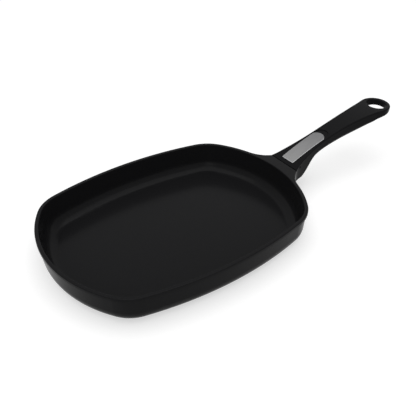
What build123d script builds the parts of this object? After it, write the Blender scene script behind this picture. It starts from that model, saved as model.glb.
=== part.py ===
import os
from math import acos, asin, atan2, cos, degrees, hypot, radians, sin, sqrt, tan

from build123d import *

os.makedirs("parts", exist_ok=True)

# A cast frying pan with a moulded handle that comes off. Millimetres, +X along the handle,
# +Z up, and the origin at the centre of the base's underside.

# Pan outline: each quarter is a side arc, a corner arc and an end arc, tangent to each other.
pan_half_length = 180.0
pan_half_width = 134.5
side_arc_radius = 485.0
end_arc_radius = 169.0
corner_arc_radius = 56.0

# Pan wall and floor
pan_height = 45.0
lip_height = 4.0
lip_overhang = 2.0
wall_draft = 4.5
heel_radius = 20.0
pad_step = 0.5
pad_inset = 24.0
rim_width = 5.0
rim_edge_radius = 1.2
rim_inner_radius = 1.0
floor_thickness = 6.0
inner_draft = 7.5
floor_radius = 16.0

# Lug on the short side, cast with the pan, and the tongue that carries the handle
lug_reach = 13.0
lug_depth = 21.5
lug_root_inset = 22.0
tongue_root = 8.0
tongue_length = 22.0
tongue_half_width = 11.0
tongue_thickness = 5.0
tongue_drop = 4.0
tongue_tip_radius = 3.0
notch_start = 12.2
notch_length = 6.2
notch_depth = 2.1
notch_half_width = 5.2

# Handle seen from above: a flare tangent to the rim, a neck, a palm swell and a round end
seam_gap = 0.3
flare_length = 11.0
neck_radius = 254.0
waist_distance = 75.0
waist_half_width = 15.0
swell_radius = 704.0
shoulder_distance = 169.0
end_swell = 2.7
handle_length = 209.8

# Handle seen from the side: one long arc on top, a deep collar, a neck and a grip below
crown_radius = 524.4
crown_distance = 200.7
crown_rise = 40.3
collar_length = 18.0
collar_edge_radius = 1.3
collar_slices = 3
grip_sections = (
    # distance behind the lug, depth below the top line, lower edge radius
    (23.0, 28.9, 1.6),
    (29.0, 27.0, 2.4),
    (35.0, 23.9, 4.0),
    (41.0, 20.8, 6.0),
    (47.0, 19.3, 8.0),
    (59.0, 18.8, 9.0),
    (79.0, 19.8, 9.5),
    (113.0, 21.0, 9.5),
    (145.0, 20.2, 9.0),
    (159.0, 17.9, 6.8),
    (169.0, 15.0, 3.8),
)
end_middle_distance = 187.0
end_middle_depth = 11.8
end_tip_depth = 9.0
collar_top_radius = 1.2
grip_top_radius = 2.0
side_draft = 1.0

# Hanging eye
eye_from_end = 20.2
eye_half_length = 13.2
eye_half_width = 16.4
eye_upper_radius = 1.8
eye_lower_radius = 1.2

# Thumb plate and its recess
plate_start = 6.4
plate_length = 66.4
plate_half_width = 11.5
plate_thickness = 1.2
plate_proud = 0.3
plate_front_radius = 1.5
plate_rear_rise = 6.6
plate_rear_radius = 1.5
plate_bevel = 0.45
slide_travel = 8.0
recess_gap = 0.4
recess_spare = 0.6
recess_front_depth = 1.8
recess_rear_depth = 1.1

# Carriage under the plate in its pocket, measured along the slide from the plate's middle
slide_distance = 40.0
carriage_half_length = 12.0
carriage_half_width = 6.5
carriage_top = 1.3
carriage_depth = 10.8
pocket_gap = 0.5
stud_spacing = 14.0
stud_radius = 1.5
stud_top = 1.15
stud_length = 4.4
fit_gap = 0.05

# Finger in front of the carriage, turned up at its tip, under the latch leaf
finger_start = 20.5
finger_tip_length = 1.6
finger_tip_rise = 4.9
finger_bottom_rise = 1.6
finger_thickness = 1.5
finger_half_width = 4.0
finger_neck_start = 30.2
finger_neck_length = 3.6
finger_neck_height = 5.4

# Return spring on its rod, behind the carriage
spring_axis_depth = 7.6
spring_radius = 2.8
spring_wire_width = 0.8
spring_turns = 7
spring_length = 29.4
spring_end_gap = 0.3
spring_bore_gap = 0.4
rod_radius = 1.5
rod_in_carriage = 8.0
rod_seat = 4.0
rod_bore_gap = 0.3

# Steel sleeve in the collar, its cross pin, and the latch leaf hung on the pin
tongue_gap = 0.3
sleeve_wall = 0.8
sleeve_gap = 0.15
sleeve_set_back = 0.8
sleeve_past_tongue = 1.0
sleeve_corner_radius = 0.6
pin_distance = 10.6
pin_rise = 3.9
pin_radius = 1.75
pin_sunk = 6.0
ear_margin = 1.0
leaf_side_gap = 0.2
window_start = 10.9
window_length = 8.1
leaf_thickness = 0.6
leaf_half_width = 4.5
leaf_engagement = 1.2
leaf_nose_start = 16.5
leaf_nose_length = 1.5
leaf_hump_rise = 5.5
leaf_hump_end = 22.8
leaf_tail_rise = 3.7
leaf_tail_start = 25.0
leaf_tail_end = 29.6
chamber_half_width = 5.6
chamber_front = 7.5

# Places that follow from the sizes above
lug_end = pan_half_length + lug_reach
lug_bottom = pan_height - lug_depth
wall_top = pan_height - lip_height
tongue_top = pan_height - tongue_drop
crown_x = lug_end + crown_distance
crown_z = pan_height + crown_rise
waist_x = lug_end + waist_distance
shoulder_x = lug_end + shoulder_distance
end_x = lug_end + handle_length
eye_x = end_x - eye_from_end
pin_x = lug_end + pin_distance
pin_z = tongue_top + pin_rise
flare_x = lug_end + flare_length
plate_x = lug_end + plate_start
sleeve_top = tongue_top + tongue_gap + sleeve_wall
sleeve_half_width = tongue_half_width + tongue_gap + sleeve_wall
sleeve_length = tongue_length + sleeve_past_tongue - sleeve_set_back
sleeve_height = tongue_thickness + 2 * (tongue_gap + sleeve_wall)
sleeve_z = tongue_top - tongue_thickness / 2

# The neck's arc starts at flare_x, leaning by flare_lean. The flare is the arc tangent to it
# there and to the pan's end arc.
flare_lean = asin((waist_x - flare_x) / neck_radius)
flare_half_width = waist_half_width + neck_radius * (1 - cos(flare_lean))
end_arc_x = pan_half_length - end_arc_radius
flare_radius = ((flare_x - end_arc_x) ** 2 + flare_half_width**2 - end_arc_radius**2) / (
    2 * (end_arc_radius - (flare_x - end_arc_x) * sin(flare_lean) - flare_half_width * cos(flare_lean))
)
flare_centre = Vector(
    flare_x + flare_radius * sin(flare_lean),
    flare_half_width + flare_radius * cos(flare_lean),
)


def top_point(x, above=0.0):
    """Point of the handle's top line in the X-Z plane, raised along its normal."""
    radius = crown_radius + above
    return (x, crown_z - crown_radius + sqrt(radius**2 - (crown_x - x) ** 2))


# The plate slides straight, along the top line's tangent at slide_x.
slide_x = lug_end + slide_distance
slide_angle = asin((crown_x - slide_x) / crown_radius)
slide_along = Vector(cos(slide_angle), 0, sin(slide_angle))
slide_up = Vector(-sin(slide_angle), 0, cos(slide_angle))
slide_origin = Vector(slide_x, 0, top_point(slide_x)[1])
slide_plane = Plane(slide_origin, x_dir=slide_along, z_dir=slide_up)
spring_line = Plane(slide_origin - slide_up * spring_axis_depth, x_dir=(0, 1, 0), z_dir=slide_along)
spring_start = carriage_half_length + spring_end_gap
bore_end = spring_start + spring_length + spring_end_gap
pocket_end = carriage_half_length + slide_travel + pocket_gap


def pan_outline(inset):
    """The pan's outline drawn in by inset, as a face at the origin."""
    side_centre = Vector(0, pan_half_width - side_arc_radius)
    end_centre = Vector(end_arc_x, 0)
    to_side = side_arc_radius - corner_arc_radius
    to_end = end_arc_radius - corner_arc_radius
    between = end_centre - side_centre
    along = (to_side**2 - to_end**2 + between.length**2) / (2 * between.length)
    across = sqrt(to_side**2 - along**2)
    ahead = between.normalized()
    corner = side_centre + ahead * along + Vector(ahead.Y, -ahead.X) * across
    end_turn = degrees(atan2(corner.Y - end_centre.Y, corner.X - end_centre.X))
    side_turn = degrees(atan2(corner.Y - side_centre.Y, corner.X - side_centre.X))
    with BuildSketch(mode=Mode.PRIVATE) as outline:
        with BuildLine():
            CenterArc(end_centre, end_arc_radius - inset, 0, end_turn)
            CenterArc(corner, corner_arc_radius - inset, end_turn, side_turn - end_turn)
            CenterArc(side_centre, side_arc_radius - inset, side_turn, 90 - side_turn)
            mirror(about=Plane.YZ)
            mirror(about=Plane.XZ)
        make_face()
    return outline.sketch


def half_width(x):
    """Half of the handle's width at x, from the lug to the shoulder."""
    if x > waist_x:
        return waist_half_width + swell_radius - sqrt(swell_radius**2 - (x - waist_x) ** 2)
    if x > flare_x:
        return waist_half_width + neck_radius - sqrt(neck_radius**2 - (waist_x - x) ** 2)
    return flare_centre.Y - sqrt(flare_radius**2 - (flare_centre.X - x) ** 2)


end_radius = half_width(shoulder_x) + end_swell
end_centre_x = end_x - end_radius


def handle_section(x, bottom, top_radius, lower_radius):
    """Cross-section of the handle at x: a flat top, drafted sides and rounded edges."""
    half = half_width(x)
    top = top_point(x)[1]
    with BuildSketch(Plane.YZ.offset(x), mode=Mode.PRIVATE) as section:
        with BuildLine():
            Polyline(
                (-half, top),
                (half, top),
                (half - side_draft, bottom),
                (side_draft - half, bottom),
                close=True,
            )
        make_face()
        fillet(section.vertices().sort_by(Axis.Y)[:2], lower_radius)
        fillet(section.vertices().sort_by(Axis.Y)[-2:], top_radius)
    return section.sketch


def under_top(start, stop, upper, lower_start, lower_stop):
    """Side view of a strip along the top line: raised by upper, down to two depths."""
    middle = (start + stop) / 2
    with BuildSketch(Plane.XZ, mode=Mode.PRIVATE) as strip:
        with BuildLine():
            over = ThreePointArc(top_point(start, upper), top_point(middle, upper), top_point(stop, upper))
            under = ThreePointArc(
                top_point(start, -lower_start),
                top_point(middle, -(lower_start + lower_stop) / 2),
                top_point(stop, -lower_stop),
            )
            Line(over @ 0, under @ 0)
            Line(over @ 1, under @ 1)
        make_face()
    return strip.sketch


def plate_outline(gap, extension):
    """The plate seen from above, wider by gap all round and longer by extension at its rear."""
    front = plate_x - gap
    rear = plate_x + plate_length + gap + extension
    shoulder = rear - plate_rear_rise
    half = plate_half_width + gap
    with BuildSketch(mode=Mode.PRIVATE) as outline:
        with BuildLine():
            Polyline((shoulder, -half), (front, -half), (front, half), (shoulder, half))
            ThreePointArc((shoulder, -half), (rear, 0), (shoulder, half))
        make_face()
        fillet(outline.vertices().sort_by(Axis.X)[:2], plate_front_radius + gap)
        fillet(outline.vertices().sort_by(Axis.X)[-2:], plate_rear_radius + gap)
    return outline.sketch


# Pan: drafted outside with a rounded heel, a flat rim with a lip, the lug and its tongue
with BuildPart() as cavity:
    with BuildSketch(Plane.XY.offset(floor_thickness)):
        add(pan_outline(rim_width + (pan_height - floor_thickness) * tan(radians(inner_draft))))
    extrude(amount=pan_height - floor_thickness + rim_width, taper=-inner_draft)
    fillet(cavity.faces().sort_by(Axis.Z)[0].edges(), floor_radius)

with BuildPart() as pan_body:
    with BuildSketch(Plane.XY.offset(pad_step)):
        add(pan_outline(lip_overhang + (wall_top - pad_step) * tan(radians(wall_draft))))
    extrude(amount=wall_top - pad_step, taper=-wall_draft)
    fillet(pan_body.faces().sort_by(Axis.Z)[0].edges(), heel_radius)
    with BuildSketch(Plane.XY):
        add(pan_outline(pad_inset))
    extrude(amount=pad_step)
    with BuildSketch(Plane.XY.offset(wall_top)):
        add(pan_outline(0))
    extrude(amount=lip_height)
    with BuildSketch(Plane.XY.offset(pan_height)):
        with BuildLine():
            root_turn = degrees(atan2(flare_centre.Y, flare_centre.X - end_arc_x)) + 180
            seam_drop = Vector(lug_end, half_width(lug_end)) - flare_centre
            front_turn = degrees(atan2(seam_drop.Y, seam_drop.X)) + 360
            flare = CenterArc(flare_centre, flare_radius, root_turn, front_turn - root_turn)
            root_x = pan_half_length - lug_root_inset
            Polyline(flare @ 0, (root_x, (flare @ 0).Y), (root_x, 0))
            Line(flare @ 1, (lug_end, 0))
            mirror(about=Plane.XZ)
        make_face()
    extrude(amount=-lug_depth)
    low_arcs = pan_body.edges().filter_by(GeomType.CIRCLE)
    low_arcs = low_arcs.filter_by_position(Axis.Z, lug_bottom - seam_gap, lug_bottom + seam_gap)
    fillet(low_arcs.sort_by(lambda edge: abs(edge.center().Y))[-2:], collar_edge_radius)
    add(cavity.part, mode=Mode.SUBTRACT)
    with BuildSketch(Plane.XY.offset(tongue_top)) as tongue:
        with Locations((lug_end - tongue_root, 0)):
            Rectangle(
                tongue_root + tongue_length,
                2 * tongue_half_width,
                align=(Align.MIN, Align.CENTER),
            )
        fillet(tongue.vertices().sort_by(Axis.X)[-2:], tongue_tip_radius)
    extrude(amount=-tongue_thickness)
    with BuildSketch(Plane.XY.offset(tongue_top)):
        with Locations((lug_end + notch_start + notch_length / 2, 0)):
            Rectangle(notch_length, 2 * notch_half_width)
    extrude(amount=-notch_depth, mode=Mode.SUBTRACT)
    rim_top = pan_body.faces().filter_by(Plane.XY).sort_by(Axis.Z)[-1]
    fillet(rim_top.outer_wire().edges(), rim_edge_radius)
    rim_top = pan_body.faces().filter_by(Plane.XY).sort_by(Axis.Z)[-1]
    fillet(rim_top.inner_wires()[0].edges(), rim_inner_radius)

pan_body.part.label = "pan_body"
export_step(pan_body.part, "parts/pan_body.step")


def on_eye(edge):
    """True for the long edges that run round the hanging eye."""
    point = edge @ 0.3
    place = hypot((point.X - eye_x) / eye_half_length, point.Y / eye_half_width)
    return abs(place - 1) < 0.01 and edge.length > 2 * eye_half_length


def clear_of_seam(edge):
    """True for the grip end's edges that aren't on its joint with the lofted grip."""
    return edge.center().X > shoulder_x + 0.1


# Round end of the grip: its plan and its side view meet, then the outer edges are rounded
with BuildPart() as grip_end:
    shoulder_half = half_width(shoulder_x)
    shoulder_run = shoulder_x - end_centre_x
    shoulder_turn = atan2(shoulder_half, shoulder_run)
    tangent_turn = degrees(shoulder_turn - acos(end_radius / hypot(shoulder_half, shoulder_run)))
    with BuildSketch(Plane.XY.offset(crown_z)):
        with BuildLine():
            round_end = CenterArc((end_centre_x, 0), end_radius, -tangent_turn, 2 * tangent_turn)
            side = PolarLine(round_end @ 1, end_radius, tangent_turn + 90)
            Line(side @ 1, ((side @ 1).X, -(side @ 1).Y))
            mirror(side, about=Plane.XZ)
        make_face()
    end_depth = grip_sections[-1][1]
    extrude(amount=-2 * end_depth, taper=degrees(atan2(side_draft, end_depth)))
    with BuildSketch(Plane.XZ):
        with BuildLine():
            middle_x = lug_end + end_middle_distance
            shoulder_z = top_point(shoulder_x)[1]
            over = ThreePointArc(top_point(shoulder_x), top_point(middle_x), top_point(end_x))
            under = ThreePointArc(
                (shoulder_x, shoulder_z - end_depth),
                (middle_x, top_point(middle_x)[1] - end_middle_depth),
                (end_x, top_point(end_x)[1] - end_tip_depth),
            )
            Line(over @ 0, under @ 0)
            Line(over @ 1, under @ 1)
        make_face()
    extrude(amount=2 * end_radius, both=True, mode=Mode.INTERSECT)
    fillet(grip_end.faces().sort_by(Axis.Z)[-1].edges().filter_by(clear_of_seam), grip_top_radius)
    fillet(grip_end.faces().sort_by(Axis.Z)[0].edges().filter_by(clear_of_seam), grip_sections[-1][2])
    with BuildSketch(Plane.XY.offset(crown_z + eye_upper_radius)):
        with Locations((eye_x, 0)):
            Ellipse(eye_half_length, eye_half_width)
    extrude(amount=-2 * end_depth, mode=Mode.SUBTRACT)
    fillet(grip_end.edges().filter_by(on_eye).sort_by(Axis.Z)[-1:], eye_upper_radius)
    fillet(grip_end.edges().filter_by(on_eye).sort_by(Axis.Z)[:1], eye_lower_radius)

# Room for the slide: the plate's recess, the latch chamber and the carriage's pocket
with BuildPart() as slide_room:
    recess_reach = slide_travel * cos(slide_angle) + recess_spare
    recess_end = plate_x + plate_length + recess_gap + recess_reach
    with BuildSketch(Plane.XY.offset(pan_height - lug_depth)):
        add(plate_outline(recess_gap, recess_reach))
    extrude(amount=crown_z)
    with BuildSketch(Plane.XZ):
        add(under_top(lug_end, recess_end, 2 * recess_front_depth, recess_front_depth, recess_rear_depth))
    extrude(amount=2 * plate_half_width, both=True, mode=Mode.INTERSECT)
    with BuildSketch(Plane.XZ) as chamber:
        chamber_floor = sleeve_top + sleeve_gap
        neck_end = lug_end + finger_neck_start + finger_neck_length + pocket_gap
        chamber_end = neck_end + slide_travel * cos(slide_angle)
        with BuildLine():
            Polyline(
                (lug_end + chamber_front, top_point(lug_end + chamber_front)[1]),
                (lug_end + chamber_front, chamber_floor),
                (neck_end, chamber_floor),
                (chamber_end, chamber_floor + slide_travel * sin(slide_angle)),
                (chamber_end, top_point(chamber_end)[1]),
                close=True,
            )
        make_face()
    extrude(amount=chamber_half_width, both=True)
    with BuildSketch(slide_plane.offset(-carriage_depth - pocket_gap)) as pocket:
        with Locations(((pocket_end - carriage_half_length - pocket_gap) / 2, 0)):
            Rectangle(
                pocket_end + carriage_half_length + pocket_gap,
                2 * (carriage_half_width + pocket_gap),
            )
    extrude(amount=carriage_depth + pocket_gap)

# Handle shell: a straight collar, a grip lofted from it to the shoulder, and the round end
with BuildPart() as handle_shell:
    for slice_index in range(collar_slices + 1):
        distance = seam_gap + (collar_length - seam_gap) * slice_index / collar_slices
        add(handle_section(lug_end + distance, lug_bottom, collar_top_radius, collar_edge_radius))
    loft()
    add(handle_section(lug_end + collar_length, lug_bottom, collar_top_radius, collar_edge_radius))
    for distance, depth, lower_radius in grip_sections:
        x = lug_end + distance
        share = min(1, distance / waist_distance)
        top_radius = collar_top_radius + (grip_top_radius - collar_top_radius) * share
        add(handle_section(x, top_point(x)[1] - depth, top_radius, lower_radius))
    loft()
    add(grip_end.part)
    add(slide_room.part, mode=Mode.SUBTRACT)
    socket_half = sleeve_half_width + sleeve_gap
    with BuildSketch(Plane.YZ.offset(lug_end)) as socket:
        with Locations((0, sleeve_z)):
            Rectangle(2 * socket_half, sleeve_height + 2 * sleeve_gap)
    extrude(amount=sleeve_set_back + sleeve_length + pocket_gap, mode=Mode.SUBTRACT)
    with Locations(Location((pin_x, 0, pin_z), (90, 0, 0))):
        Cylinder(pin_radius + fit_gap, 4 * half_width(pin_x), mode=Mode.SUBTRACT)
    with BuildSketch(spring_line.offset(pocket_end - pocket_gap)):
        Circle(spring_radius + spring_wire_width / 2 + spring_bore_gap)
    extrude(amount=bore_end - pocket_end + pocket_gap, mode=Mode.SUBTRACT)
    with BuildSketch(spring_line.offset(bore_end - pocket_gap)):
        Circle(rod_radius + fit_gap)
    extrude(amount=rod_seat + pocket_gap, mode=Mode.SUBTRACT)

handle_shell.part.label = "handle_shell"
export_step(handle_shell.part, "parts/handle_shell.step")

# Thumb plate: bent to the top line, with a bevelled edge
with BuildPart() as thumb_plate:
    with BuildSketch(Plane.XY.offset(lug_bottom)):
        add(plate_outline(0, 0))
    extrude(amount=crown_z)
    with BuildSketch(Plane.XZ):
        plate_under = plate_thickness - plate_proud
        add(under_top(lug_end, plate_x + 2 * plate_length, plate_proud, plate_under, plate_under))
    extrude(amount=2 * plate_half_width, both=True, mode=Mode.INTERSECT)
    chamfer(thumb_plate.faces().sort_by(Axis.Z)[-1].edges(), plate_bevel)

thumb_plate.part.label = "thumb_plate"
export_step(thumb_plate.part, "parts/thumb_plate.step")

# Slide carriage: a block with stud holes and a rod bore, and the finger at its front
with BuildPart() as slide_carriage:
    with BuildSketch(slide_plane.offset(-carriage_depth)):
        Rectangle(2 * carriage_half_length, 2 * carriage_half_width)
    extrude(amount=carriage_depth - carriage_top)
    with BuildSketch(Plane.XZ):
        with BuildLine():
            tip_x = lug_end + finger_start
            neck_x = lug_end + finger_neck_start
            finger_low = tongue_top + finger_bottom_rise
            Polyline(
                (tip_x, finger_low),
                (tip_x, tongue_top + finger_tip_rise),
                (tip_x + finger_tip_length, tongue_top + finger_tip_rise),
                (tip_x + finger_tip_length, finger_low + finger_thickness),
                (neck_x, finger_low + finger_thickness),
                (neck_x, finger_low + finger_neck_height),
                (neck_x + finger_neck_length, finger_low + finger_neck_height),
                (neck_x + finger_neck_length, finger_low),
                close=True,
            )
        make_face()
    extrude(amount=finger_half_width, both=True)
    with BuildSketch(slide_plane.offset(-carriage_top)):
        with GridLocations(stud_spacing, 1, 2, 1):
            Circle(stud_radius + fit_gap)
    extrude(amount=-stud_length, mode=Mode.SUBTRACT)
    with BuildSketch(spring_line.offset(carriage_half_length)):
        Circle(rod_radius + rod_bore_gap)
    extrude(amount=-(rod_in_carriage + slide_travel + pocket_gap), mode=Mode.SUBTRACT)

slide_carriage.part.label = "slide_carriage"
export_step(slide_carriage.part, "parts/slide_carriage.step")

# Studs under the plate, one ahead of the other in the carriage
with BuildPart() as front_stud:
    with BuildSketch(slide_plane.offset(-stud_top)):
        with Locations((-stud_spacing / 2, 0)):
            Circle(stud_radius)
    extrude(amount=-stud_length)

with BuildPart() as rear_stud:
    with BuildSketch(slide_plane.offset(-stud_top)):
        with Locations((stud_spacing / 2, 0)):
            Circle(stud_radius)
    extrude(amount=-stud_length)

front_stud.part.label = "front_stud"
export_step(front_stud.part, "parts/front_stud.step")
rear_stud.part.label = "rear_stud"
export_step(rear_stud.part, "parts/rear_stud.step")

# Return spring, coiled from square wire, and the rod that guides it
with BuildPart() as return_spring:
    with BuildLine():
        coil = Helix(
            pitch=spring_length / spring_turns,
            height=spring_length - spring_wire_width,
            radius=spring_radius,
            center=spring_line.from_local_coords((0, 0, spring_start + spring_wire_width / 2)),
            direction=slide_along,
        )
    with BuildSketch(Plane(coil @ 0, x_dir=slide_along, z_dir=coil % 0)):
        Rectangle(spring_wire_width, spring_wire_width)
    sweep(is_frenet=True)

return_spring.part.label = "return_spring"
export_step(return_spring.part, "parts/return_spring.step")

with BuildPart() as spring_rod:
    with BuildSketch(spring_line.offset(carriage_half_length - rod_in_carriage)):
        Circle(rod_radius)
    extrude(amount=bore_end + rod_seat - fit_gap - carriage_half_length + rod_in_carriage)

spring_rod.part.label = "spring_rod"
export_step(spring_rod.part, "parts/spring_rod.step")

# Socket sleeve: a steel tube round the tongue, with a window and two ears for the pin
with BuildPart() as socket_sleeve:
    with BuildSketch(Plane.YZ.offset(lug_end + sleeve_set_back)):
        with Locations((0, sleeve_z)):
            RectangleRounded(2 * sleeve_half_width, sleeve_height, sleeve_corner_radius)
            Rectangle(
                2 * (tongue_half_width + tongue_gap),
                tongue_thickness + 2 * tongue_gap,
                mode=Mode.SUBTRACT,
            )
    extrude(amount=sleeve_length)
    with BuildSketch(Plane.XY.offset(sleeve_top)):
        with Locations((lug_end + window_start + window_length / 2, 0)):
            Rectangle(window_length, 2 * (leaf_half_width + leaf_side_gap))
    extrude(amount=-sleeve_wall, mode=Mode.SUBTRACT)
    with BuildSketch(Plane.XZ.offset(leaf_half_width + leaf_side_gap)) as ear:
        with Locations((pin_x, pin_z)):
            Circle(pin_radius + ear_margin)
        with Locations((pin_x, (pin_z + sleeve_top) / 2)):
            Rectangle(2 * (pin_radius + ear_margin), pin_z - sleeve_top)
        with Locations((pin_x, pin_z)):
            Circle(pin_radius + fit_gap, mode=Mode.SUBTRACT)
    extrude(amount=sleeve_wall)
    mirror(socket_sleeve.part, about=Plane.XZ)

socket_sleeve.part.label = "socket_sleeve"
export_step(socket_sleeve.part, "parts/socket_sleeve.step")

with BuildPart() as cross_pin:
    with Locations(Location((pin_x, 0, pin_z), (90, 0, 0))):
        Cylinder(pin_radius, 2 * (half_width(pin_x) - pin_sunk))
    chamfer(cross_pin.edges(), pin_radius / 5)

cross_pin.part.label = "cross_pin"
export_step(cross_pin.part, "parts/cross_pin.step")

# Latch leaf: an eye on the pin, a nose in the tongue's notch, a hump and a tail
with BuildPart() as latch_leaf:
    with BuildSketch(Plane.XZ):
        with BuildLine():
            eye_low = pin_z - pin_radius - fit_gap - leaf_thickness / 2
            nose_z = tongue_top - leaf_engagement + leaf_thickness / 2
            nose_x = lug_end + leaf_nose_start
            FilletPolyline(
                (pin_x, eye_low),
                (nose_x, nose_z),
                (nose_x + leaf_nose_length, nose_z),
                (nose_x + leaf_nose_length, tongue_top + leaf_hump_rise),
                (lug_end + leaf_hump_end, tongue_top + leaf_hump_rise),
                (lug_end + leaf_tail_start, tongue_top + leaf_tail_rise),
                (lug_end + leaf_tail_end, tongue_top + leaf_tail_rise),
                radius=leaf_thickness,
            )
        trace(line_width=leaf_thickness)
        with Locations((pin_x, pin_z)):
            Circle(pin_radius + fit_gap + leaf_thickness)
            Circle(pin_radius + fit_gap, mode=Mode.SUBTRACT)
    extrude(amount=leaf_half_width, both=True)

latch_leaf.part.label = "latch_leaf"
export_step(latch_leaf.part, "parts/latch_leaf.step")
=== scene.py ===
import bpy
from mathutils import Matrix, Vector


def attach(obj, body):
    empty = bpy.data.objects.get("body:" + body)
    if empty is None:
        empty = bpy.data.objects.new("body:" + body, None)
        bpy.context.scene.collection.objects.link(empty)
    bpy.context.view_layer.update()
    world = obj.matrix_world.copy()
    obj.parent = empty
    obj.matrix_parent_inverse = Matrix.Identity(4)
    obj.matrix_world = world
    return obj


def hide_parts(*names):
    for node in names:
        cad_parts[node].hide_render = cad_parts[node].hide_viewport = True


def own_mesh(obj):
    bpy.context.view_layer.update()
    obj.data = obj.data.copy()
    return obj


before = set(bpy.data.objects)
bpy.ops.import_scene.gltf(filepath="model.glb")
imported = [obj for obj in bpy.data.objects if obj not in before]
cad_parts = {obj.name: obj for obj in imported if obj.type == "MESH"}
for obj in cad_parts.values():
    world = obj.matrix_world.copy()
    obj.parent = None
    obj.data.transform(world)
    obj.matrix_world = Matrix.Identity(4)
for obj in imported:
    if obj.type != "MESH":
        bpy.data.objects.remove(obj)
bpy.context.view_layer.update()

print("frame loaded:", len(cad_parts), "CAD nodes")


# helpers

mmPerMetre = 1000
noiseLow, noiseHigh = 0.3, 0.7          # nearly all of a noise texture lies between these
bumpStrength = 0.2
whiteLight = (1, 1, 1, 1)
mixFactor, mixFrom, mixTo, mixResult = 0, 6, 7, 2       # sockets of a Mix node set to colour


# undoes the sRGB curve
def linearFromHex(code):
    channels = [int(code[i:i + 2], 16) / 255 for i in (1, 3, 5)]
    return [c / 12.92 if c <= 0.04045 else ((c + 0.055) / 1.055) ** 2.4 for c in channels] + [1.0]


# sockets are given by name, or by number where several share a name
def addNode(tree, kind, values=None, links=None, **settings):
    node = tree.nodes.new(kind)
    for name, value in settings.items():
        setattr(node, name, value)
    for socket, value in (values or {}).items():
        node.inputs[socket].default_value = value
    for socket, source in (links or {}).items():
        tree.links.new(source, node.inputs[socket])
    return node


def newMaterial(name):
    material = bpy.data.materials.new(name)
    material.use_nodes = True
    material.node_tree.nodes.clear()
    return material, material.node_tree


def paint(nodeName, material):
    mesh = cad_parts[nodeName].data
    mesh.materials.clear()
    mesh.materials.append(material)


# camera

cameraView = {
    "place": (-0.3423, -0.5508, 0.5189),   # metres, at the photograph's angle
    "target": (0.03687, -0.02609, 0.045),
    "lens": 52.73,                         # mm
    "sensor": 36,                          # mm
}

cameraData = bpy.data.cameras.new("photoCamera")
cameraData.lens = cameraView["lens"]
cameraData.sensor_width = cameraView["sensor"]
cameraObject = bpy.data.objects.new("photoCamera", cameraData)
cameraObject.location = cameraView["place"]
lookAlong = Vector(cameraView["target"]) - Vector(cameraView["place"])
cameraObject.rotation_euler = lookAlong.to_track_quat("-Z", "Y").to_euler()
bpy.context.scene.collection.objects.link(cameraObject)
bpy.context.scene.camera = cameraObject
bpy.context.scene.view_settings.view_transform = "Standard"
print("camera placed")


# materials

# Cast aluminium with a sprayed and baked non-stick coat. It reads as a soft charcoal satin: fine
# pigment mottle in the colour, and a shallow orange peel that breaks up reflections. The pad
# under the base is bare metal that was turned on a lathe.
panFinish = {
    "coat": "#181819",
    "pigment": "#1b1b1c",
    "pigmentSize": 1.6,         # mm, coarser than the real mineral specks so that they show
    "pigmentStart": 0.45,       # level of the noise where a speck begins
    "pigmentFull": 0.75,        # and where it has its full colour
    "peelSize": 2.4,            # mm
    "peelHeight": 0.012,        # mm
    "roughness": 0.21,
    "roughnessSpread": 0.03,
    "gloss": 0.040,             # specular level, below a real coat's: the room here is all white
    "metal": "#b4b2ae",
    "padTop": 0.45,             # mm above the hob, where the bare pad ends
    "ringRadian": 1.4,          # mm of radius per radian of the turning marks: they come out
                                # 8.8 mm apart, far coarser than real
    "ringHeight": 0.02,         # mm
    "ringStrength": 0.3,
    "ringWobble": 0.3,
    "ringPolished": 0.26,       # roughness on one side of a mark
    "ringDull": 0.42,           # and on the other
}
waveRate = 20                   # radians that a wave texture runs through in one unit


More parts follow.
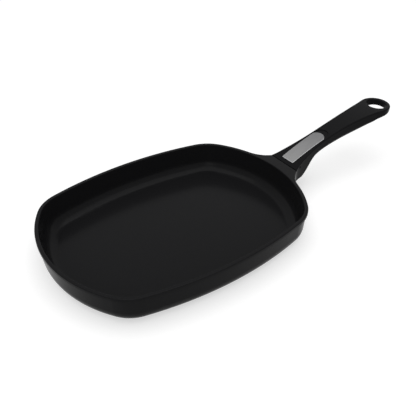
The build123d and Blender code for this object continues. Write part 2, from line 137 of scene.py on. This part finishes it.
def coatedCasting():
    material, tree = newMaterial("non-stick coated cast aluminium")
    place = addNode(tree, "ShaderNodeTexCoord").outputs["Object"]

    # the coat
    pigment = addNode(tree, "ShaderNodeTexNoise",
                      {"Scale": mmPerMetre / panFinish["pigmentSize"], "Detail": 3.0},
                      {"Vector": place})
    pigmentMask = addNode(tree, "ShaderNodeMapRange",
                          {"From Min": panFinish["pigmentStart"],
                           "From Max": panFinish["pigmentFull"]},
                          {"Value": pigment.outputs["Fac"]})
    coatColor = addNode(tree, "ShaderNodeMix",
                        {mixFrom: linearFromHex(panFinish["coat"]),
                         mixTo: linearFromHex(panFinish["pigment"])},
                        {mixFactor: pigmentMask.outputs["Result"]}, data_type="RGBA")
    peel = addNode(tree, "ShaderNodeTexNoise",
                   {"Scale": mmPerMetre / panFinish["peelSize"], "Detail": 2.0},
                   {"Vector": place})
    rough = addNode(tree, "ShaderNodeMapRange",
                    {"From Min": noiseLow, "From Max": noiseHigh,
                     "To Min": panFinish["roughness"] - panFinish["roughnessSpread"],
                     "To Max": panFinish["roughness"] + panFinish["roughnessSpread"]},
                    {"Value": peel.outputs["Fac"]})
    bump = addNode(tree, "ShaderNodeBump",
                   {"Strength": bumpStrength, "Distance": panFinish["peelHeight"] / mmPerMetre},
                   {"Height": peel.outputs["Fac"]})
    coat = addNode(tree, "ShaderNodeBsdfPrincipled",
                   {"Metallic": 0.0, "Specular IOR Level": panFinish["gloss"]},
                   {"Base Color": coatColor.outputs[mixResult],
                    "Roughness": rough.outputs["Result"], "Normal": bump.outputs["Normal"]})

    # the bare pad
    axes = addNode(tree, "ShaderNodeSeparateXYZ", None, {"Vector": place})
    under = addNode(tree, "ShaderNodeMath", {1: panFinish["padTop"] / mmPerMetre},
                    {0: axes.outputs["Z"]}, operation="LESS_THAN")
    rings = addNode(tree, "ShaderNodeTexWave",
                    {"Scale": mmPerMetre / panFinish["ringRadian"] / waveRate,
                     "Distortion": panFinish["ringWobble"]},
                    {"Vector": place}, wave_type="RINGS", rings_direction="Z")
    ringRough = addNode(tree, "ShaderNodeMapRange",
                        {"To Min": panFinish["ringPolished"], "To Max": panFinish["ringDull"]},
                        {"Value": rings.outputs["Fac"]})
    ringBump = addNode(tree, "ShaderNodeBump",
                       {"Strength": panFinish["ringStrength"],
                        "Distance": panFinish["ringHeight"] / mmPerMetre},
                       {"Height": rings.outputs["Fac"]})
    bare = addNode(tree, "ShaderNodeBsdfPrincipled",
                   {"Base Color": linearFromHex(panFinish["metal"]), "Metallic": 1.0},
                   {"Roughness": ringRough.outputs["Result"],
                    "Normal": ringBump.outputs["Normal"]})

    both = addNode(tree, "ShaderNodeMixShader", None,
                   {0: under.outputs[0], 1: coat.outputs[0], 2: bare.outputs[0]})
    addNode(tree, "ShaderNodeOutputMaterial", None, {"Surface": both.outputs[0]})
    return material


# Compression-moulded phenolic: darker and harder than the coat, an even satin with a very fine
# grain, and slow changes in gloss where hands and the mould have polished it.
gripFinish = {
    "color": "#151516",
    "handled": "#1a1a1b",
    "grain": 0.9,               # mm, coarser than real so that it shows
    "grainHeight": 0.01,        # mm
    "polish": 26.0,             # mm
    "roughness": 0.32,
    "roughnessSpread": 0.04,
    "gloss": 0.022,             # specular level, below real phenolic's, as on the pan
}


def mouldedPhenolic():
    material, tree = newMaterial("moulded phenolic")
    place = addNode(tree, "ShaderNodeTexCoord").outputs["Object"]
    grain = addNode(tree, "ShaderNodeTexNoise",
                    {"Scale": mmPerMetre / gripFinish["grain"], "Detail": 3.0},
                    {"Vector": place})
    polish = addNode(tree, "ShaderNodeTexNoise",
                     {"Scale": mmPerMetre / gripFinish["polish"], "Detail": 2.0},
                     {"Vector": place})
    shade = addNode(tree, "ShaderNodeMix",
                    {mixFrom: linearFromHex(gripFinish["color"]),
                     mixTo: linearFromHex(gripFinish["handled"])},
                    {mixFactor: grain.outputs["Fac"]}, data_type="RGBA")
    rough = addNode(tree, "ShaderNodeMapRange",
                    {"From Min": noiseLow, "From Max": noiseHigh,
                     "To Min": gripFinish["roughness"] - gripFinish["roughnessSpread"],
                     "To Max": gripFinish["roughness"] + gripFinish["roughnessSpread"]},
                    {"Value": polish.outputs["Fac"]})
    bump = addNode(tree, "ShaderNodeBump",
                   {"Strength": bumpStrength, "Distance": gripFinish["grainHeight"] / mmPerMetre},
                   {"Height": grain.outputs["Fac"]})
    shader = addNode(tree, "ShaderNodeBsdfPrincipled",
                     {"Specular IOR Level": gripFinish["gloss"]},
                     {"Base Color": shade.outputs[mixResult],
                      "Roughness": rough.outputs["Result"], "Normal": bump.outputs["Normal"]})
    addNode(tree, "ShaderNodeOutputMaterial", None, {"Surface": shader.outputs[0]})
    return material


# Stainless steel, belt-brushed along the plate: light grey, with fine lines that draw the
# highlight out across them, painted shade that darkens the rear half, and a painted highlight
# on the bevelled edges.
plateFinish = {
    # front and rear colours of the face: the rear is painted darker as shade
    "front": "#7c7c7c",
    "rear": "#6a6a6b",
    # painted highlight colour for the bevelled edges
    "edge": "#b9b9ba",
    "frontX": 0.199,                    # metres, where the plate begins and ends
    "rearX": 0.266,
    "faceTilt": (-0.306, 0.0, 0.952),   # which way the plate's face looks
    "faceLimit": 0.9,                   # what looks further off than this is a bevelled edge
    "line": 0.25,                       # mm between brush lines, coarser than real to show
    "lineLength": 22.0,                 # mm
    "lineHeight": 0.01,                 # mm
    "lineDark": 0.93,                   # how far the lines shade the steel's colour
    "lineLight": 1.07,
    "roughness": 0.38,
    "roughnessSpread": 0.08,
}


def brushedStainless():
    material, tree = newMaterial("brushed stainless steel")
    coordinates = addNode(tree, "ShaderNodeTexCoord")
    place = coordinates.outputs["Object"]

    # brush lines
    along = mmPerMetre / plateFinish["lineLength"]
    across = mmPerMetre / plateFinish["line"]
    stretch = addNode(tree, "ShaderNodeMapping", {"Scale": (along, across, along)},
                      {"Vector": place})
    lines = addNode(tree, "ShaderNodeTexNoise", {"Scale": 1.0, "Detail": 3.0},
                    {"Vector": stretch.outputs["Vector"]})

    # colour of the face: painted shade, darker from front to rear
    axes = addNode(tree, "ShaderNodeSeparateXYZ", None, {"Vector": place})
    paintedShadeRamp = addNode(tree, "ShaderNodeMapRange",
                   {"From Min": plateFinish["frontX"], "From Max": plateFinish["rearX"]},
                   {"Value": axes.outputs["X"]})
    paintedRearShade = addNode(tree, "ShaderNodeMix",
                     {mixFrom: linearFromHex(plateFinish["front"]),
                      mixTo: linearFromHex(plateFinish["rear"])},
                     {mixFactor: paintedShadeRamp.outputs["Result"]}, data_type="RGBA")
    lined = addNode(tree, "ShaderNodeMapRange",
                    {"From Min": noiseLow, "From Max": noiseHigh,
                     "To Min": plateFinish["lineDark"], "To Max": plateFinish["lineLight"]},
                    {"Value": lines.outputs["Fac"]})
    face = addNode(tree, "ShaderNodeVectorMath", None,
                   {0: paintedRearShade.outputs[mixResult], 1: lined.outputs["Result"]},
                   operation="MULTIPLY")

    # painted highlight: the bevelled edges get a lighter colour
    facing = addNode(tree, "ShaderNodeVectorMath", {1: plateFinish["faceTilt"]},
                     {0: coordinates.outputs["Normal"]}, operation="DOT_PRODUCT")
    paintedEdgeHighlight = addNode(tree, "ShaderNodeMath", {1: plateFinish["faceLimit"]},
                       {0: facing.outputs["Value"]}, operation="LESS_THAN")
    steelColor = addNode(tree, "ShaderNodeMix", {mixTo: linearFromHex(plateFinish["edge"])},
                         {mixFactor: paintedEdgeHighlight.outputs[0], mixFrom: face.outputs["Vector"]},
                         data_type="RGBA")

    rough = addNode(tree, "ShaderNodeMapRange",
                    {"From Min": noiseLow, "From Max": noiseHigh,
                     "To Min": plateFinish["roughness"] - plateFinish["roughnessSpread"],
                     "To Max": plateFinish["roughness"] + plateFinish["roughnessSpread"]},
                    {"Value": lines.outputs["Fac"]})
    bump = addNode(tree, "ShaderNodeBump",
                   {"Strength": bumpStrength, "Distance": plateFinish["lineHeight"] / mmPerMetre},
                   {"Height": lines.outputs["Fac"]})
    shader = addNode(tree, "ShaderNodeBsdfPrincipled", {"Metallic": 1.0},
                     {"Base Color": steelColor.outputs[mixResult],
                      "Roughness": rough.outputs["Result"], "Normal": bump.outputs["Normal"]})
    addNode(tree, "ShaderNodeOutputMaterial", None, {"Surface": shader.outputs[0]})
    return material


# The pieces inside: drawn steel with faint marks, darker tempered spring steel, the oxide-black
# cross pin in its holes, and moulded nylon.
innerFinish = {
    "drawn steel": {
        "color": "#8f8e8c", "metallic": 1.0, "roughness": 0.35, "grain": 0.6,      # grain in mm
        "nodes": ("front_stud", "rear_stud", "spring_rod", "socket_sleeve"),
    },
    "tempered spring steel": {
        "color": "#6f7075", "metallic": 1.0, "roughness": 0.32, "grain": 0.6,
        "nodes": ("return_spring", "latch_leaf"),
    },
    "black-oxide steel": {
        "color": "#0c0c0d", "metallic": 1.0, "roughness": 0.45, "grain": 0.6,
        "nodes": ("cross_pin",),
    },
    "moulded nylon": {
        "color": "#2a2a2c", "metallic": 0.0, "roughness": 0.5, "grain": 0.8,
        "nodes": ("slide_carriage",),
    },
}
innerGrainHeight = 0.02         # mm
innerRoughnessSpread = 0.05


def plainFinish(name):
    look = innerFinish[name]
    material, tree = newMaterial(name)
    place = addNode(tree, "ShaderNodeTexCoord").outputs["Object"]
    mottle = addNode(tree, "ShaderNodeTexNoise",
                     {"Scale": mmPerMetre / look["grain"], "Detail": 2.0}, {"Vector": place})
    rough = addNode(tree, "ShaderNodeMapRange",
                    {"From Min": noiseLow, "From Max": noiseHigh,
                     "To Min": look["roughness"] - innerRoughnessSpread,
                     "To Max": look["roughness"] + innerRoughnessSpread},
                    {"Value": mottle.outputs["Fac"]})
    bump = addNode(tree, "ShaderNodeBump",
                   {"Strength": bumpStrength, "Distance": innerGrainHeight / mmPerMetre},
                   {"Height": mottle.outputs["Fac"]})
    shader = addNode(tree, "ShaderNodeBsdfPrincipled",
                     {"Base Color": linearFromHex(look["color"]), "Metallic": look["metallic"]},
                     {"Roughness": rough.outputs["Result"], "Normal": bump.outputs["Normal"]})
    addNode(tree, "ShaderNodeOutputMaterial", None, {"Surface": shader.outputs[0]})
    return material


paint("pan_body", coatedCasting())
paint("handle_shell", mouldedPhenolic())
paint("thumb_plate", brushedStainless())
innerMaterials = {name: plainFinish(name) for name in innerFinish}
for name, look in innerFinish.items():
    for nodeName in look["nodes"]:
        paint(nodeName, innerMaterials[name])
print("materials painted")


# return spring: round wire coiled on the slide's line

springSizes = {
    "Wire": 0.8,                        # mm
    "Radius": 2.8,                      # mm, to the middle of the wire
    "Length": 29.4,                     # mm, over its ends
    "Turns": 7.0,
    "stepsPerTurn": 36,
    "wireSides": 12,
    "front": (247.04, 0.0, 56.61),      # mm, where its axis starts behind the carriage
    "rear": (275.02, 0.0, 65.61),       # mm, where it bears on the handle
    "travel": 8.0,                      # mm that the slide closes it
}


def coiledWire():
    tree = bpy.data.node_groups.new("coiled wire", "GeometryNodeTree")
    sockets = {}
    for name in ("Wire", "Radius", "Length", "Turns"):
        sockets[name] = tree.interface.new_socket(name, in_out="INPUT",
                                                  socket_type="NodeSocketFloat")
    sockets["Metal"] = tree.interface.new_socket("Metal", in_out="INPUT",
                                                 socket_type="NodeSocketMaterial")
    tree.interface.new_socket("Geometry", in_out="OUTPUT", socket_type="NodeSocketGeometry")
    given = addNode(tree, "NodeGroupInput").outputs

    wireRadius = addNode(tree, "ShaderNodeMath", {1: 0.5}, {0: given["Wire"]},
                         operation="MULTIPLY")
    rise = addNode(tree, "ShaderNodeMath", None, {0: given["Length"], 1: given["Wire"]},
                   operation="SUBTRACT")
    helix = addNode(tree, "GeometryNodeCurveSpiral",
                    {"Resolution": springSizes["stepsPerTurn"]},
                    {"Rotations": given["Turns"], "Start Radius": given["Radius"],
                     "End Radius": given["Radius"], "Height": rise.outputs[0]})
    section = addNode(tree, "GeometryNodeCurvePrimitiveCircle",
                      {"Resolution": springSizes["wireSides"]},
                      {"Radius": wireRadius.outputs[0]})
    wire = addNode(tree, "GeometryNodeCurveToMesh", {"Fill Caps": True},
                   {"Curve": helix.outputs["Curve"], "Profile Curve": section.outputs["Curve"]})
    smooth = addNode(tree, "GeometryNodeSetShadeSmooth", None, {"Geometry": wire.outputs["Mesh"]})
    real = addNode(tree, "GeometryNodeRealizeInstances", None,
                   {"Geometry": smooth.outputs["Geometry"]})
    finished = addNode(tree, "GeometryNodeSetMaterial", None,
                       {"Geometry": real.outputs["Geometry"], "Material": given["Metal"]})
    addNode(tree, "NodeGroupOutput", None, {"Geometry": finished.outputs["Geometry"]})
    return tree, sockets


def makeSpring():
    tree, sockets = coiledWire()
    spring = bpy.data.objects.new("returnSpring", bpy.data.meshes.new("returnSpring"))
    bpy.context.scene.collection.objects.link(spring)
    coiling = spring.modifiers.new("coiling", "NODES")
    coiling.node_group = tree
    for name in ("Wire", "Radius", "Length"):
        coiling[sockets[name].identifier] = springSizes[name] / mmPerMetre
    coiling[sockets["Turns"].identifier] = springSizes["Turns"]
    coiling[sockets["Metal"].identifier] = innerMaterials["tempered spring steel"]

    # a plain mesh, stood on the slide's line
    evaluated = spring.evaluated_get(bpy.context.evaluated_depsgraph_get())
    coil = bpy.data.meshes.new_from_object(evaluated)
    spring.modifiers.remove(coiling)
    spring.data = coil
    front = Vector(springSizes["front"]) / mmPerMetre
    rear = Vector(springSizes["rear"]) / mmPerMetre
    along = (rear - front).normalized()
    standing = Matrix.Translation(front + along * springSizes["Wire"] / (2 * mmPerMetre))
    coil.transform(standing @ along.to_track_quat("Z", "Y").to_matrix().to_4x4())

    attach(spring, "handle")
    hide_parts("return_spring")
    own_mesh(spring)


makeSpring()
print("spring coiled")


# floor, sky and lamps

stageLook = {
    "floor": "#c9c9c9",
    "floorSize": 30.0,          # metres
    "clearance": 0.0001,        # metres under the base, so that the two faces don't flicker
    "floorGlow": 0.55,          # added for the camera, reflections and glass only
    "sky": 0.4,                 # strength of the light it gives
    "skySeen": 1.0,             # strength that shows, where 1 is white
}
lamps = {
    "overhead": {"place": (0.0, 0.02, 2.3), "size": 2.6, "watts": 35},      # metres
    "front left": {"place": (-1.5, -1.6, 1.3), "size": 1.2, "watts": 7},
}


# gives 1 where the camera sees a surface itself, in a reflection or through glass
def seenDirectly(tree):
    rays = addNode(tree, "ShaderNodeLightPath")
    direct = addNode(tree, "ShaderNodeMath", None,
                     {0: rays.outputs["Is Camera Ray"], 1: rays.outputs["Is Glossy Ray"]},
                     operation="MAXIMUM")
    seen = addNode(tree, "ShaderNodeMath", None,
                   {0: direct.outputs[0], 1: rays.outputs["Is Transmission Ray"]},
                   operation="MAXIMUM")
    return seen.outputs[0]


bpy.ops.mesh.primitive_plane_add(size=stageLook["floorSize"],
                                 location=(0, 0, -stageLook["clearance"]))
floor = bpy.context.object
floor.name = "paleFloor"
floorMaterial, tree = newMaterial("pale floor")
paper = addNode(tree, "ShaderNodeBsdfDiffuse", {"Color": linearFromHex(stageLook["floor"])})
glowLevel = addNode(tree, "ShaderNodeMath", {1: stageLook["floorGlow"]}, {0: seenDirectly(tree)},
                    operation="MULTIPLY")
glow = addNode(tree, "ShaderNodeEmission", {"Color": whiteLight},
               {"Strength": glowLevel.outputs[0]})
litPaper = addNode(tree, "ShaderNodeAddShader", None, {0: paper.outputs[0], 1: glow.outputs[0]})
addNode(tree, "ShaderNodeOutputMaterial", None, {"Surface": litPaper.outputs[0]})
floor.data.materials.append(floorMaterial)

world = bpy.data.worlds.new("studio")
bpy.context.scene.world = world
world.use_nodes = True
tree = world.node_tree
tree.nodes.clear()
softSky = addNode(tree, "ShaderNodeBackground",
                  {"Color": whiteLight, "Strength": stageLook["sky"]})
whiteSky = addNode(tree, "ShaderNodeBackground",
                   {"Color": whiteLight, "Strength": stageLook["skySeen"]})
skyMix = addNode(tree, "ShaderNodeMixShader", None,
                 {0: seenDirectly(tree), 1: softSky.outputs[0], 2: whiteSky.outputs[0]})
addNode(tree, "ShaderNodeOutputWorld", None, {"Surface": skyMix.outputs[0]})

for lampName, lamp in lamps.items():
    light = bpy.data.lights.new(lampName, "AREA")
    light.size = lamp["size"]
    light.energy = lamp["watts"]
    lampObject = bpy.data.objects.new(lampName, light)
    lampObject.location = lamp["place"]
    lampObject.rotation_euler = (-Vector(lamp["place"])).to_track_quat("-Z", "Y").to_euler()
    bpy.context.scene.collection.objects.link(lampObject)
print("stage lit")
